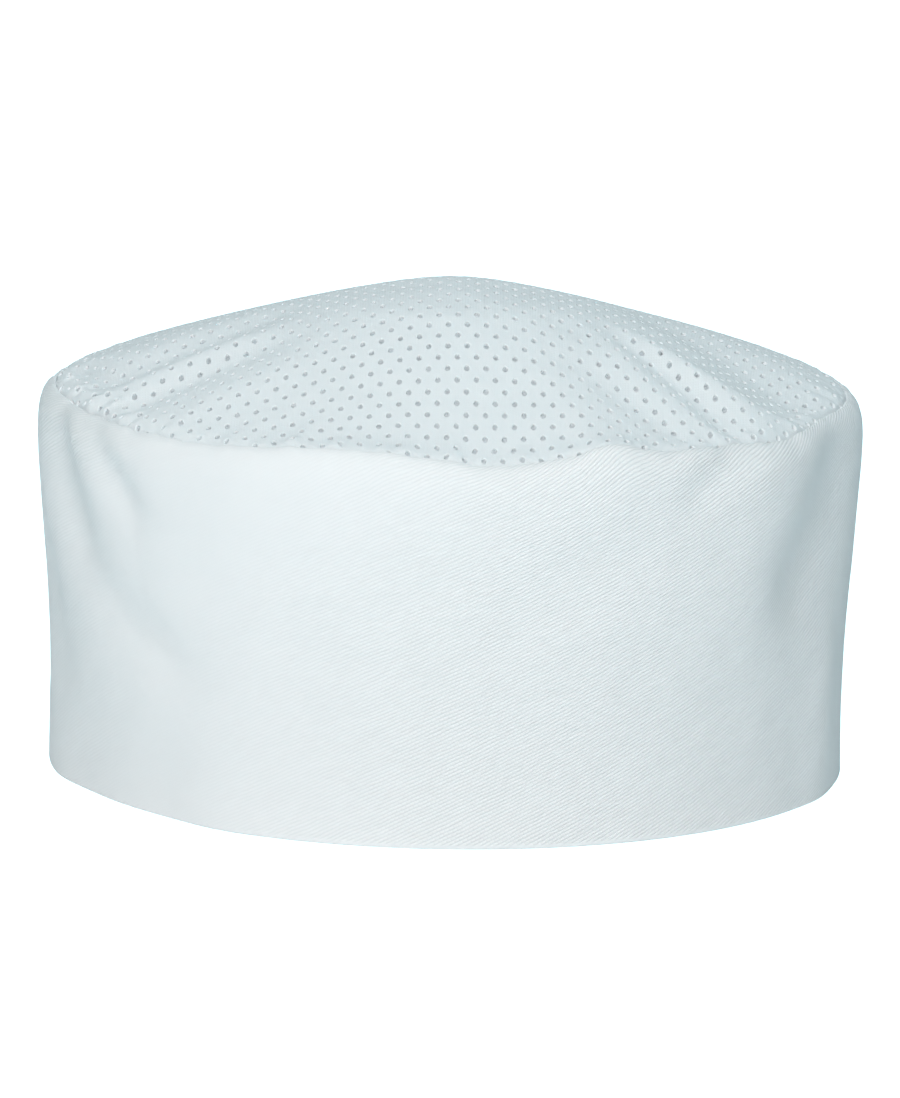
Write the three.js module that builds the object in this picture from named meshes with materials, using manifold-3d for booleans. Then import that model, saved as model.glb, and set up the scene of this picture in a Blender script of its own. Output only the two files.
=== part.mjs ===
// Chef skull cap: an upright band of white cotton twill, folded to a double wall, closed on top
// by a low domed crown of perforated mesh cloth. It stands on its hem, empty, as on a table.
// Millimetres, +Z up. The front of the cap faces -Y and its wide way is X.
import * as THREE from 'three';
import * as BufferGeometryUtils from 'three/addons/utils/BufferGeometryUtils.js';
import Module from 'manifold-3d';

// Sizes of the cap
const HEM_HALF_WIDTH = 98.1;
const HEM_HALF_DEPTH = 90.0;
const BAND_HEIGHT = 94.0;
const CROWN_RISE = 29.3;
const APEX_TO_THE_RIGHT = 0.8;
const APEX_TO_THE_FRONT = 13.0;

// Cloth
const BAND_WALL = 1.6;
const HEM_FOLD_ROUND = 0.4;
const CROWN_WALL = 1.0;
const SEAM_ALLOWANCE = 8.0;
const CLEARANCE = 0.3;

// Eyelets of the mesh cloth, in straight rows from left to right, every other row shifted half
const EYELET_WIDTH = 3.0;
const EYELET_PITCH = 15.4;
const EYELET_ROW_SPACING = 13.4;
const EYELET_MARGIN = 7.5;

// Fineness of the facets
const AROUND = 72;
const EYELET_SIDES = 6;
const NORMAL_STEP = 0.002;

// The band's section from the hem up: height as a share of BAND_HEIGHT, and how far the wall
// stands out past the hem, as a share of HEM_HALF_WIDTH. It rolls over a soft shoulder.
const BAND_SECTION = [
  { height: 0.15, out: -0.0021 },
  { height: 0.32, out: 0.0010 },
  { height: 0.41, out: 0.0052 },
  { height: 0.50, out: 0.0110 },
  { height: 0.58, out: 0.0173 },
  { height: 0.67, out: 0.0230 },
  { height: 0.75, out: 0.0282 },
  { height: 0.84, out: 0.0340 },
  { height: 0.90, out: 0.0356 },
  { height: 0.94, out: 0.0335 },
  { height: 0.97, out: 0.0262 },
  { height: 0.99, out: 0.0146 },
  { height: 1.00, out: 0.0063 },
];

// The crown's height above the seam as shares of CROWN_RISE, by the share of the way from the
// apex to the seam. In front it drops straight from a broad flat top, and it falls more evenly
// at the sides and back.
const CROWN_SECTION = [
  { reach: 0.10, front: 0.985, side: 0.955, back: 0.985 },
  { reach: 0.20, front: 0.952, side: 0.902, back: 0.925 },
  { reach: 0.30, front: 0.898, side: 0.835, back: 0.829 },
  { reach: 0.40, front: 0.788, side: 0.752, back: 0.724 },
  { reach: 0.50, front: 0.662, side: 0.659, back: 0.611 },
  { reach: 0.60, front: 0.526, side: 0.559, back: 0.495 },
  { reach: 0.70, front: 0.382, side: 0.454, back: 0.375 },
  { reach: 0.79, front: 0.259, side: 0.349, back: 0.266 },
  { reach: 0.87, front: 0.147, side: 0.247, back: 0.167 },
  { reach: 0.93, front: 0.067, side: 0.153, back: 0.089 },
  { reach: 0.97, front: 0.029, side: 0.075, back: 0.038 },
];
const FRONT_SHARPNESS = 1.2;

// Ripples of the seam between band and crown: degrees from the front, positive to the right,
// spread in degrees, and lift as a share of BAND_HEIGHT.
const SEAM_RIPPLES = [
  { at: -88, spread: 8, lift: 0.012 },
  { at: -37, spread: 8, lift: -0.005 },
  { at: -15, spread: 16, lift: 0.024 },
  { at: 5, spread: 6, lift: -0.012 },
  { at: 23.5, spread: 6, lift: 0.038 },
  { at: 36, spread: 6, lift: 0.007 },
  { at: 56, spread: 7, lift: -0.011 },
  { at: 82, spread: 7, lift: 0.002 },
];
const RIPPLE_FOOT = 0.78;

// Folds and hollows of the band, as lines on the unrolled wall: degrees and shares of
// BAND_HEIGHT at both ends, how far the cloth is pushed out (shares of HEM_HALF_WIDTH, in is
// negative) and the half width of the fold (share of BAND_HEIGHT).
const BAND_FOLDS = [
  { from: -76, low: 0.99, to: -61, high: 0.62, out: -0.036, half: 0.105 },
  { from: -64, low: 1.01, to: -47, high: 0.78, out: -0.022, half: 0.058 },
  { from: -62, low: 0.62, to: -38, high: 0.38, out: -0.018, half: 0.085 },
  { from: -82, low: 0.80, to: -58, high: 0.46, out: 0.003, half: 0.075 },
  { from: -82, low: 0.64, to: -72, high: 0.22, out: -0.015, half: 0.110 },
  { from: -72, low: 0.00, to: -38, high: 0.04, out: -0.026, half: 0.240 },
  { from: -100, low: 0.00, to: -98, high: 0.24, out: 0.008, half: 0.180 },
  { from: 75, low: 0.98, to: 56, high: 0.52, out: -0.044, half: 0.145 },
  { from: 54, low: 0.96, to: 40, high: 0.44, out: 0.012, half: 0.140 },
  { from: 69, low: 0.46, to: 68, high: 0.00, out: 0.018, half: 0.110 },
  { from: 50, low: 1.05, to: 34, high: 0.88, out: -0.016, half: 0.055 },
  { from: 36, low: 0.88, to: 4, high: 0.56, out: -0.010, half: 0.100 },
];

// Folds of the crown, as lines seen from above: both ends as shares of HEM_HALF_WIDTH and
// HEM_HALF_DEPTH, lift as a share of CROWN_RISE (a valley is negative), half width as a share
// of HEM_HALF_WIDTH. They run from the top down to the two front corners.
const CROWN_FOLDS = [
  { name: 'right valley', x1: 0.48, y1: 0.10, x2: 0.90, y2: -0.38, lift: -0.110, half: 0.105 },
  { name: 'right ridge', x1: 0.36, y1: -0.24, x2: 0.84, y2: -0.56, lift: 0.060, half: 0.048 },
  { name: 'middle valley', x1: 0.38, y1: -0.27, x2: 0.74, y2: -0.67, lift: -0.064, half: 0.046 },
  { name: 'middle ridge', x1: 0.37, y1: -0.41, x2: 0.72, y2: -0.78, lift: 0.034, half: 0.048 },
  { name: 'inner valley', x1: 0.30, y1: -0.51, x2: 0.60, y2: -0.79, lift: -0.044, half: 0.048 },
  { name: 'left valley', x1: -0.40, y1: -0.12, x2: -0.88, y2: -0.24, lift: -0.072, half: 0.065 },
  { name: 'left ridge', x1: -0.48, y1: -0.28, x2: -0.90, y2: -0.42, lift: 0.046, half: 0.046 },
  { name: 'lower left valley', x1: -0.38, y1: -0.35, x2: -0.84, y2: -0.51, lift: -0.054, half: 0.052 },
  { name: 'lower left ridge', x1: -0.36, y1: -0.52, x2: -0.80, y2: -0.69, lift: 0.030, half: 0.070 },
  { name: 'left corner crease', x1: -0.97, y1: 0.02, x2: -0.80, y2: -0.26, lift: -0.066, half: 0.040 },
];
const FOLD_RELEASE = 0.94;

const radians = (degrees) => THREE.MathUtils.degToRad(degrees);
const degreesAround = (index) => (360 * index) / AROUND - 180;

// Height of a smooth mound at a distance from its middle line.
const mound = (distance, half) => Math.exp(-((distance / half) ** 2));

// A fold's share of its full depth: it falls off to either side and fades at both ends.
function foldShare(x, y, x1, y1, x2, y2, half) {
  const run = Math.hypot(x2 - x1, y2 - y1);
  const along = ((x - x1) * (x2 - x1) + (y - y1) * (y2 - y1)) / (run * run);
  const across = ((x - x1) * (y2 - y1) - (y - y1) * (x2 - x1)) / run;
  return mound(across, half) * Math.exp(-((2 * along - 1) ** 4));
}

// A point of the plan at an angle from the front, pushed outwards from the hem's oval.
function planPoint(angle, out) {
  const x = Math.sin(radians(angle)) * (HEM_HALF_WIDTH + out);
  const y = -Math.cos(radians(angle)) * (HEM_HALF_DEPTH + out);
  return [x, y];
}

function seamLift(angle) {
  let lift = 0;
  for (const ripple of SEAM_RIPPLES) {
    lift += ripple.lift * BAND_HEIGHT * mound(angle - ripple.at, ripple.spread);
  }
  return lift;
}

function bandPush(angle, height) {
  const arcPerDegree = radians(1) * HEM_HALF_WIDTH;
  let push = 0;
  for (const fold of BAND_FOLDS) {
    const share = foldShare(
      angle * arcPerDegree, height * BAND_HEIGHT,
      fold.from * arcPerDegree, fold.low * BAND_HEIGHT,
      fold.to * arcPerDegree, fold.high * BAND_HEIGHT, fold.half * BAND_HEIGHT,
    );
    push += fold.out * HEM_HALF_WIDTH * share;
  }
  return push;
}

function ripplePart(height) {
  const share = THREE.MathUtils.clamp((height - RIPPLE_FOOT) / (1 - RIPPLE_FOOT), 0, 1);
  return share * share;
}

// A ring of points round the band, at a height share and a distance out past the hem.
function bandRing(height, out) {
  const ring = [];
  for (let index = 0; index < AROUND; index += 1) {
    const angle = degreesAround(index);
    const [x, y] = planPoint(angle, out + bandPush(angle, height));
    const z = height * BAND_HEIGHT + seamLift(angle) * ripplePart(height);
    ring.push([x, y, z]);
  }
  return ring;
}

// How far out the band's outer face stands at a height share, between the section's rows.
function sectionOut(height) {
  let below = { height: 0, out: 0 };
  for (const row of BAND_SECTION) {
    if (height <= row.height) {
      const share = (height - below.height) / (row.height - below.height);
      return HEM_HALF_WIDTH * THREE.MathUtils.lerp(below.out, row.out, share);
    }
    below = row;
  }
  return HEM_HALF_WIDTH * below.out;
}

function crownHeight(angle, reach) {
  let below = { reach: 0, front: 1, side: 1, back: 1 };
  let above = { reach: 1, front: 0, side: 0, back: 0 };
  for (const row of CROWN_SECTION) {
    if (row.reach <= reach) {
      below = row;
    } else if (row.reach < above.reach) {
      above = row;
    }
  }
  const facing = Math.cos(radians(angle));
  const front = Math.max(facing, 0) ** FRONT_SHARPNESS;
  const back = Math.max(-facing, 0) ** FRONT_SHARPNESS;
  const share = (reach - below.reach) / (above.reach - below.reach);
  const atRow = (row) => front * row.front + back * row.back + (1 - front - back) * row.side;
  return CROWN_RISE * THREE.MathUtils.lerp(atRow(below), atRow(above), share);
}

function crownFoldLift(x, y, reach) {
  let lift = 0;
  for (const fold of CROWN_FOLDS) {
    const share = foldShare(
      x, y, fold.x1 * HEM_HALF_WIDTH, fold.y1 * HEM_HALF_DEPTH,
      fold.x2 * HEM_HALF_WIDTH, fold.y2 * HEM_HALF_DEPTH, fold.half * HEM_HALF_WIDTH,
    );
    lift += fold.lift * CROWN_RISE * share;
  }
  const release = THREE.MathUtils.clamp((1 - reach) / (1 - FOLD_RELEASE), 0, 1);
  return lift * release;
}

// A point of the crown's outer face: the share of the way from the apex to the seam.
function crownPoint(angle, reach) {
  const seamOut = sectionOut(1) - BAND_WALL - CLEARANCE + bandPush(angle, 1);
  const [seamX, seamY] = planPoint(angle, seamOut);
  const x = THREE.MathUtils.lerp(APEX_TO_THE_RIGHT, seamX, reach);
  const y = THREE.MathUtils.lerp(-APEX_TO_THE_FRONT, seamY, reach);
  const seamZ = BAND_HEIGHT + seamLift(angle) * reach ** 6;
  return [x, y, seamZ + crownHeight(angle, reach) + crownFoldLift(x, y, reach)];
}

function crownInnerPoint(angle, reach) {
  const at = new THREE.Vector3(...crownPoint(angle, reach));
  const outwards = new THREE.Vector3(...crownPoint(angle, reach + NORMAL_STEP)).sub(at);
  const along = new THREE.Vector3(...crownPoint(angle + 1, reach)).sub(at);
  const normal = outwards.cross(along).normalize();
  return at.addScaledVector(normal, -CROWN_WALL).toArray();
}

// Joins rings of points into one closed surface. Rings are lists of AROUND points, and a ring
// of a single point closes a pole. Where closing is true the last ring joins the first.
function ringSurface(rings, closing) {
  const positions = [];
  const starts = [];
  for (const ring of rings) {
    starts.push(positions.length / 3);
    for (const point of ring) {
      positions.push(...point);
    }
  }
  const triangles = [];
  const lastRing = closing ? rings.length : rings.length - 1;
  for (let step = 0; step < lastRing; step += 1) {
    const next = (step + 1) % rings.length;
    for (let index = 0; index < AROUND; index += 1) {
      const after = (index + 1) % AROUND;
      const a = starts[step] + (rings[step].length === 1 ? 0 : index);
      const b = starts[step] + (rings[step].length === 1 ? 0 : after);
      const c = starts[next] + (rings[next].length === 1 ? 0 : after);
      const d = starts[next] + (rings[next].length === 1 ? 0 : index);
      if (a !== b) {
        triangles.push(a, b, c);
      }
      if (c !== d) {
        triangles.push(a, c, d);
      }
    }
  }
  const geometry = new THREE.BufferGeometry();
  geometry.setAttribute('position', new THREE.Float32BufferAttribute(positions, 3));
  geometry.setIndex(triangles);
  return geometry;
}

function bandGeometry() {
  const roundShare = HEM_FOLD_ROUND / BAND_HEIGHT;
  const rings = [bandRing(0, -HEM_FOLD_ROUND), bandRing(roundShare, 0)];
  for (const row of BAND_SECTION) {
    rings.push(bandRing(row.height, row.out * HEM_HALF_WIDTH));
  }
  const innerRows = BAND_SECTION.filter((row, place) => place % 2 === 0).reverse();
  for (const row of innerRows) {
    rings.push(bandRing(row.height, row.out * HEM_HALF_WIDTH - BAND_WALL));
  }
  rings.push(bandRing(roundShare, -BAND_WALL));
  rings.push(bandRing(0, HEM_FOLD_ROUND - BAND_WALL));
  return ringSurface(rings, true);
}

// The crown's cloth turns down inside the band and hangs there as the seam allowance.
function crownGeometry() {
  const apex = crownPoint(0, 0);
  const rings = [[apex]];
  const reaches = CROWN_SECTION.map((row) => row.reach);
  for (const reach of [...reaches, 1]) {
    rings.push(ringOf((angle) => crownPoint(angle, reach)));
  }
  const tailShares = [SEAM_ALLOWANCE / 2, SEAM_ALLOWANCE].map((drop) => 1 - drop / BAND_HEIGHT);
  for (const height of tailShares) {
    rings.push(tailRing(height, 0));
  }
  for (const height of [...tailShares].reverse()) {
    rings.push(tailRing(height, CROWN_WALL));
  }
  for (const reach of [...reaches].reverse()) {
    rings.push(ringOf((angle) => crownInnerPoint(angle, reach)));
  }
  rings.push([[apex[0], apex[1], apex[2] - CROWN_WALL]]);
  return ringSurface(rings.reverse(), false);
}

function ringOf(pointAt) {
  return Array.from({ length: AROUND }, (unused, index) => pointAt(degreesAround(index)));
}

// A ring of the turned-down cloth, clear of the band's inner face and of its rippled top.
function tailRing(height, inwards) {
  const nearestOut = Math.min(sectionOut(height), sectionOut(1));
  return bandRing(height, nearestOut - BAND_WALL - CLEARANCE - inwards);
}

// Solids for cutting, with their shared vertices merged
const wasm = await Module();
wasm.setup();

function toSolid(geometry) {
  const bare = geometry.index ? geometry.clone() : geometry;
  bare.deleteAttribute('normal');
  bare.deleteAttribute('uv');
  const merged = BufferGeometryUtils.mergeVertices(bare, 1e-5);
  const mesh = new wasm.Mesh({
    numProp: 3,
    vertProperties: new Float32Array(merged.attributes.position.array),
    triVerts: new Uint32Array(merged.index.array),
  });
  return new wasm.Manifold(mesh);
}

function toGeometry(solid) {
  const mesh = solid.getMesh();
  const geometry = new THREE.BufferGeometry();
  geometry.setAttribute('position', new THREE.BufferAttribute(mesh.vertProperties, 3));
  geometry.setIndex(new THREE.BufferAttribute(mesh.triVerts, 1));
  return geometry;
}

// Eyelets are cut straight down, in rows that stay EYELET_MARGIN inside the seam.
function eyeletPlaces() {
  const places = [];
  const rows = Math.ceil(HEM_HALF_DEPTH / EYELET_ROW_SPACING);
  const columns = Math.ceil(HEM_HALF_WIDTH / EYELET_PITCH);
  for (let row = -rows; row <= rows; row += 1) {
    const y = row * EYELET_ROW_SPACING - APEX_TO_THE_FRONT;
    const shift = row % 2 === 0 ? 0 : EYELET_PITCH / 2;
    for (let column = -columns; column <= columns; column += 1) {
      const x = column * EYELET_PITCH + shift + APEX_TO_THE_RIGHT;
      const reachX = HEM_HALF_WIDTH - BAND_WALL - EYELET_MARGIN - EYELET_WIDTH / 2;
      const reachY = HEM_HALF_DEPTH - BAND_WALL - EYELET_MARGIN - EYELET_WIDTH / 2;
      if (Math.hypot(x / reachX, y / reachY) < 1) {
        places.push([x, y]);
      }
    }
  }
  return places;
}

function pierce(geometry) {
  const height = CROWN_RISE + BAND_HEIGHT;
  const punches = eyeletPlaces().map(([x, y]) => {
    const punch = new THREE.CylinderGeometry(
      EYELET_WIDTH / 2, EYELET_WIDTH / 2, height, EYELET_SIDES,
    );
    punch.rotateX(Math.PI / 2);
    punch.translate(x, y, BAND_HEIGHT + height / 2 - SEAM_ALLOWANCE);
    return punch;
  });
  const cut = BufferGeometryUtils.mergeGeometries(punches);
  return toGeometry(toSolid(geometry).subtract(toSolid(cut)));
}

const twill = new THREE.MeshStandardMaterial({ color: 0xeef2f4, roughness: 0.9, metalness: 0 });
const meshCloth = new THREE.MeshStandardMaterial({ color: 0xe6ecee, roughness: 0.85, metalness: 0 });

const bandShape = bandGeometry();
const crownShape = pierce(crownGeometry());
bandShape.computeBoundingBox();
crownShape.computeBoundingBox();
const wholeBox = bandShape.boundingBox.clone().union(crownShape.boundingBox);
const middle = wholeBox.getCenter(new THREE.Vector3());

const band = new THREE.Mesh(bandShape, twill);
band.name = 'band';
const crown = new THREE.Mesh(crownShape, meshCloth);
crown.name = 'crown';

const cap = new THREE.Group();
cap.position.set(-middle.x, -middle.y, -wholeBox.min.z);
cap.add(band, crown);

export default cap;
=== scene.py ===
"""Chef skull cap: a double-walled white twill band with a folded hem, closed on top by a low
domed crown of knitted mesh cloth whose eyelets are cut right through.

Lengths are written in millimetres, as a cap maker would, and meshes are made in metres.
The front of the cap faces -Y.
"""

import math

import bmesh
import bpy
import numpy as np
from mathutils import Euler, Matrix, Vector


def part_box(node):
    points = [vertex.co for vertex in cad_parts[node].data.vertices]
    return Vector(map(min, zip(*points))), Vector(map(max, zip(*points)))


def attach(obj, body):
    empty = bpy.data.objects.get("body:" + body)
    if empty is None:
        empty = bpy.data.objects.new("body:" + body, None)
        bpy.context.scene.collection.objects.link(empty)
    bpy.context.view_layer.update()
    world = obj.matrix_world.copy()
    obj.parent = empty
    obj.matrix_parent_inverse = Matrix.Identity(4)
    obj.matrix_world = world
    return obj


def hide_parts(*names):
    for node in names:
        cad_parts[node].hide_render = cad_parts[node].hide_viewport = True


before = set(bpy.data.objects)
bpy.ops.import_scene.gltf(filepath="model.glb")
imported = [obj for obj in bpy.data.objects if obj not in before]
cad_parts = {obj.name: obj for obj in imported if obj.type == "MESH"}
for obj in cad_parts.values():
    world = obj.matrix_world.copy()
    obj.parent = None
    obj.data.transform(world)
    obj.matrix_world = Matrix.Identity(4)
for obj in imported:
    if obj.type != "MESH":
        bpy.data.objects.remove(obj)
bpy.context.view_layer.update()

MM = 0.001

# Sizes of the cap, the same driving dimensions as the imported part
HEM_HALF_WIDTH = 98.1
HEM_HALF_DEPTH = 90.0
BAND_HEIGHT = 94.0
CROWN_RISE = 29.3
GIRTH_RADIUS = (HEM_HALF_WIDTH + HEM_HALF_DEPTH) / 2
APEX_X = 0.8
APEX_Y = -13.0
BAND_WALL = 1.6
HEM_FOLD_ROUND = 0.8
TWILL_PLY = 0.55
SEAM_ALLOWANCE = 8.0

# Cloth of the crown: eyelet pitch along a row, distance between rows, thickness, eyelet size
EYELET_PITCH = 4.62
ROW_SPACING = 4.36
MESH_CLOTH = 0.85
EYELET_HALF_WIDTH = 0.62
EYELET_HALF_HEIGHT = 1.12
EYELET_NARROWING = 0.22
EYELET_PHASE = (-0.87, 1.0)
# Overlock stitches that bind the cut edge of the crown's cloth, inside the band
STITCH_PITCH = 2.6
STITCH_DEPTH = 4.0
THREAD_RADIUS = 0.13
THREAD_SIDES = 6
# Section of an eyelet's edge: size as a share of the opening, depth as a share of the cloth
EYELET_LIP = [(1.55, -0.04), (1.18, -0.08), (1.02, 0.16), (0.97, 0.80), (1.15, 1.00)]
# The flat mesh cloth before it is laid and trimmed, in millimetres, and how far and how finely
# the dome is measured to lay it
CLOTH_HALF_WIDTH = 124.0
CLOTH_HALF_DEPTH = 118.0
MEASURED_HALF_RUN = 122
MEASURED_ROWS = 245
MEASURED_COLUMNS = 489
MIDDLE_LINE_POINTS = 1181
SLOPE_STEP = 0.25

# Height of the band's section as a share of BAND_HEIGHT, and how far the wall stands out past
# the hem as a share of HEM_HALF_WIDTH
BAND_SECTION = np.array([
    (0.00, 0.0000), (0.15, -0.0021), (0.32, 0.0010), (0.41, 0.0052), (0.50, 0.0110),
    (0.58, 0.0173), (0.67, 0.0230), (0.75, 0.0282), (0.84, 0.0340), (0.90, 0.0356),
    (0.94, 0.0335), (0.97, 0.0262), (0.99, 0.0146), (1.00, 0.0063),
])

# Share of the way from apex to seam, then the height left as a share of CROWN_RISE in front,
# at the sides and at the back
CROWN_SECTION = np.array([
    (0.00, 1.000, 1.000, 1.000), (0.10, 0.985, 0.955, 0.985), (0.20, 0.952, 0.902, 0.925),
    (0.30, 0.898, 0.835, 0.829), (0.40, 0.788, 0.752, 0.724), (0.50, 0.662, 0.659, 0.611),
    (0.60, 0.526, 0.559, 0.495), (0.70, 0.382, 0.454, 0.375), (0.79, 0.259, 0.349, 0.266),
    (0.87, 0.147, 0.247, 0.167), (0.93, 0.067, 0.153, 0.089), (0.97, 0.029, 0.075, 0.038),
    (1.00, 0.000, 0.000, 0.000),
])
# How fast the front's and the back's section give way to the sides'
FRONT_SHARPNESS = 1.2

# How the twill rolls in over the seam and turns down: rise past the top in shares of
# BAND_HEIGHT, and millimetres inwards
SEAM_ROLL = [
    (-0.0036, -0.22), (-0.0002, 0.28), (0.0022, 0.76), (0.0034, 1.18), (0.0026, 1.46),
    (-0.0030, 1.58), (-0.0110, 1.52), (-0.0120, 1.05), (-0.0070, 0.75),
]

# Rows of the twill up or down the band, closer together near the seam: from and to in shares of
# BAND_HEIGHT, and how many. BAND_STEPS points lie around each row
OUTER_ROWS = [(0.012, 0.88, 72), (0.89, 0.992, 18)]
TURNED_ROWS = [(0.985, 0.85, 9), (0.79, 0.03, 9)]
INNER_ROWS = [(0.98, 0.85, 12), (0.83, 0.012, 34)]
BAND_STEPS = 440
# The inner face of the fold at the hem: how high it lies and how round it is, in shares of
# HEM_FOLD_ROUND
INNER_FOLD_LEVEL = 1.3
INNER_FOLD_DEPTH = 0.6
INNER_FOLD_ROWS = 5
HEM_FOLD_ROWS = 9
# Height of the band's widest place, as a share of BAND_HEIGHT
SHOULDER = 0.9

# Ripples of the seam: degrees from the front, spread in degrees, lift in shares of BAND_HEIGHT
SEAM_RIPPLES = [
    (-88, 8, 0.012), (-37, 8, -0.005), (-15, 16, 0.024), (5, 6, -0.012), (23.5, 6, 0.038),
    (36, 6, 0.007), (56, 7, -0.011), (82, 7, 0.002),
]
# The band's wall follows the ripples only above this share of BAND_HEIGHT
RIPPLE_FOOT = 0.78

# Small puckers that the sewing draws along the seam: waves around the cap, millimetres, degrees.
# The crown's cloth swells a little just inside it, most where it bunches up in the left corner.
SEAM_PUCKERS = [(31, 0.10, 40), (47, 0.12, 110), (74, 0.10, 10), (109, 0.06, 75)]
SEAM_SWELL = 1.05
SEAM_SWELL_REACH = 2.3
PUCKER_SWELL = 4.4
PUCKER_STEP = 1.37
BUNCH_AT = -72
BUNCH_SPREAD = 17
BUNCH_TIMES = 1.2

# Band folds: from degrees and height, to degrees and height, push out in shares of
# HEM_HALF_WIDTH, half width in shares of BAND_HEIGHT
BAND_FOLDS = [
    (-76, 0.99, -61, 0.62, -0.036, 0.105),
    (-64, 1.01, -47, 0.78, -0.022, 0.058),
    (-62, 0.62, -38, 0.38, -0.018, 0.085),
    (-82, 0.80, -58, 0.46, 0.003, 0.075),
    (-82, 0.64, -72, 0.22, -0.015, 0.110),
    (-72, 0.00, -38, 0.04, -0.026, 0.240),
    (-100, 0.00, -98, 0.24, 0.008, 0.180),
    (75, 0.98, 56, 0.52, -0.044, 0.145),
    (54, 0.96, 40, 0.44, 0.012, 0.140),
    (69, 0.46, 68, 0.00, 0.018, 0.110),
    (50, 1.05, 34, 0.88, -0.016, 0.055),
    (36, 0.88, 4, 0.56, -0.010, 0.100),
]

# Crown folds seen from above: both ends in shares of the half width and half depth, lift in
# shares of CROWN_RISE, half width in shares of HEM_HALF_WIDTH
CROWN_FOLDS = [
    (0.48, 0.10, 0.90, -0.38, -0.110, 0.105),
    (0.36, -0.24, 0.84, -0.56, 0.060, 0.048),
    (0.38, -0.27, 0.74, -0.67, -0.064, 0.046),
    (0.37, -0.41, 0.72, -0.78, 0.034, 0.048),
    (0.30, -0.51, 0.60, -0.79, -0.044, 0.048),
    (-0.40, -0.12, -0.88, -0.24, -0.072, 0.065),
    (-0.48, -0.28, -0.90, -0.42, 0.046, 0.046),
    (-0.38, -0.35, -0.84, -0.51, -0.054, 0.052),
    (-0.36, -0.52, -0.80, -0.69, 0.030, 0.070),
    (-0.97, 0.02, -0.80, -0.26, -0.066, 0.040),
]
# The folds fade at the seam over this share of the way from the apex
FOLD_RELEASE = 0.06

# How the rows of eyelets lie seen from above: their slope, and how they bow at the front
ROW_SLOPE = 0.045
ROW_BOW = 0.0021

# Camera of the photograph
CAMERA_DISTANCE = 2250.6
CAMERA_ELEVATION = 12.3
CAMERA_ROLL = 0.95
AIM_X = 0.4
AIM_Z = 54.0
FOCAL_PIXELS = 9110.0
PICTURE_HEIGHT = 1098.0
SENSOR = 36.0

# How far the twill's ribs stand out around the band, and with it how much shade is painted into
# their grooves, set to follow how the key light falls: degrees from the front where a change starts
# and ends, and the share of their full relief at both places
RIB_RELIEF_AND_GROOVE_SHADE = {
    "risen": (-40, 0, 0.08, 1.0),
    "to the back": (100, 175, 1.0, 0.3),
    "left side": (-85, -115, 0.0, 0.3),
    "past the corner": (-140, -95, 0.0, 1.0),
    "left corner": (-42, -66, 0.0, 0.7),
}
# The same up the left corner's cloth, from and to in shares of BAND_HEIGHT
CORNER_RELIEF_AND_GROOVE_SHADE = (0.80, 0.92, 0.3, 1.0)
# Over the shoulder the part with flat ribs and no painted groove shade slants to the right, from
# this share of BAND_HEIGHT on
FLAT_RIBS_ABOVE = 0.55
FLAT_RIBS_SLANT = 0.75

# Studio lights: name, degrees from the front (left is negative), degrees above the table,
# distance and size in metres, power in watts, colour
SOFTBOXES = [
    ("key_softbox", -8.5, 38, 1.8, 0.9, 22.2, "#fffcfa"),
    ("back_softbox", 165, 50, 1.8, 1.2, 5.8, "#d4f2ff"),
    ("top_softbox", 30, 82, 1.6, 1.2, 6.8, "#dafaff"),
    ("right_softbox", 80, 12, 1.8, 1.0, 1.1, "#ccf2ff"),
    ("left_softbox", -100, 12, 1.8, 1.0, 1.3, "#ccf2ff"),
]
ROOM_LIGHT = 0.03
FILL_TINT = "#c8eef7"

# The table's glow near the cap, far from it and as the camera sees it, then in metres where the
# glow starts and stops to change, half the table's side, and the dark round under the cap
FLOOR_GLOW_NEAR = 0.18
FLOOR_GLOW_FAR = 0.5
FLOOR_GLOW_SEEN = 1.8
FLOOR_GLOW_FROM = 0.12
FLOOR_GLOW_TO = 0.7
FLOOR_HALF_SIDE = 6.0
INSIDE_RADIUS = 0.086

# Daylight that thin cloth lets into the cap, which shows behind the eyelets: metres and watts
INSIDE_GLOW_SIZE = 0.13
INSIDE_GLOW_LEVEL = 0.005
INSIDE_GLOW_POWER = 0.046


def curve_through(at, places, values):
    """A smooth curve through a table's rows that never overshoots them."""
    steps = np.diff(places)
    slopes = np.diff(values) / steps
    tangents = np.zeros(len(places))
    same_way = slopes[:-1] * slopes[1:] > 0
    sums = np.where(same_way, slopes[:-1] + slopes[1:], 1.0)
    tangents[1:-1] = np.where(same_way, 2 * slopes[:-1] * slopes[1:] / sums, 0.0)
    tangents[0] = slopes[0]
    tangents[-1] = slopes[-1]
    place = np.clip(np.searchsorted(places, at, side="right") - 1, 0, len(places) - 2)
    t = (at - places[place]) / steps[place]
    start = (2 * t**3 - 3 * t**2 + 1) * values[place]
    leave = (t**3 - 2 * t**2 + t) * steps[place] * tangents[place]
    end = (3 * t**2 - 2 * t**3) * values[place + 1]
    arrive = (t**3 - t**2) * steps[place] * tangents[place + 1]
    return start + leave + end + arrive


def fold(x, y, x1, y1, x2, y2, half):
    """A fold's share of its full depth: it falls off to either side and fades at both ends."""
    run = math.hypot(x2 - x1, y2 - y1)
    along = ((x - x1) * (x2 - x1) + (y - y1) * (y2 - y1)) / run**2
    across = ((x - x1) * (y2 - y1) - (y - y1) * (x2 - x1)) / run
    return np.exp(-((across / half) ** 2) - (2 * along - 1) ** 4)


def mound(distance, half):
    return np.exp(-((distance / half) ** 2))


def plan_point(angle, out):
    """A point of the plan, by degrees from the front and distance out past the hem's oval."""
    turn = np.radians(angle)
    x = np.sin(turn) * (HEM_HALF_WIDTH + out)
    y = -np.cos(turn) * (HEM_HALF_DEPTH + out)
    return x, y


def wrapped(angle):
    return (angle + 180.0) % 360.0 - 180.0


def seam_pucker(angle):
    waves = [height * np.sin(np.radians(angle * count + start))
             for count, height, start in SEAM_PUCKERS]
    return sum(waves)


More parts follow.
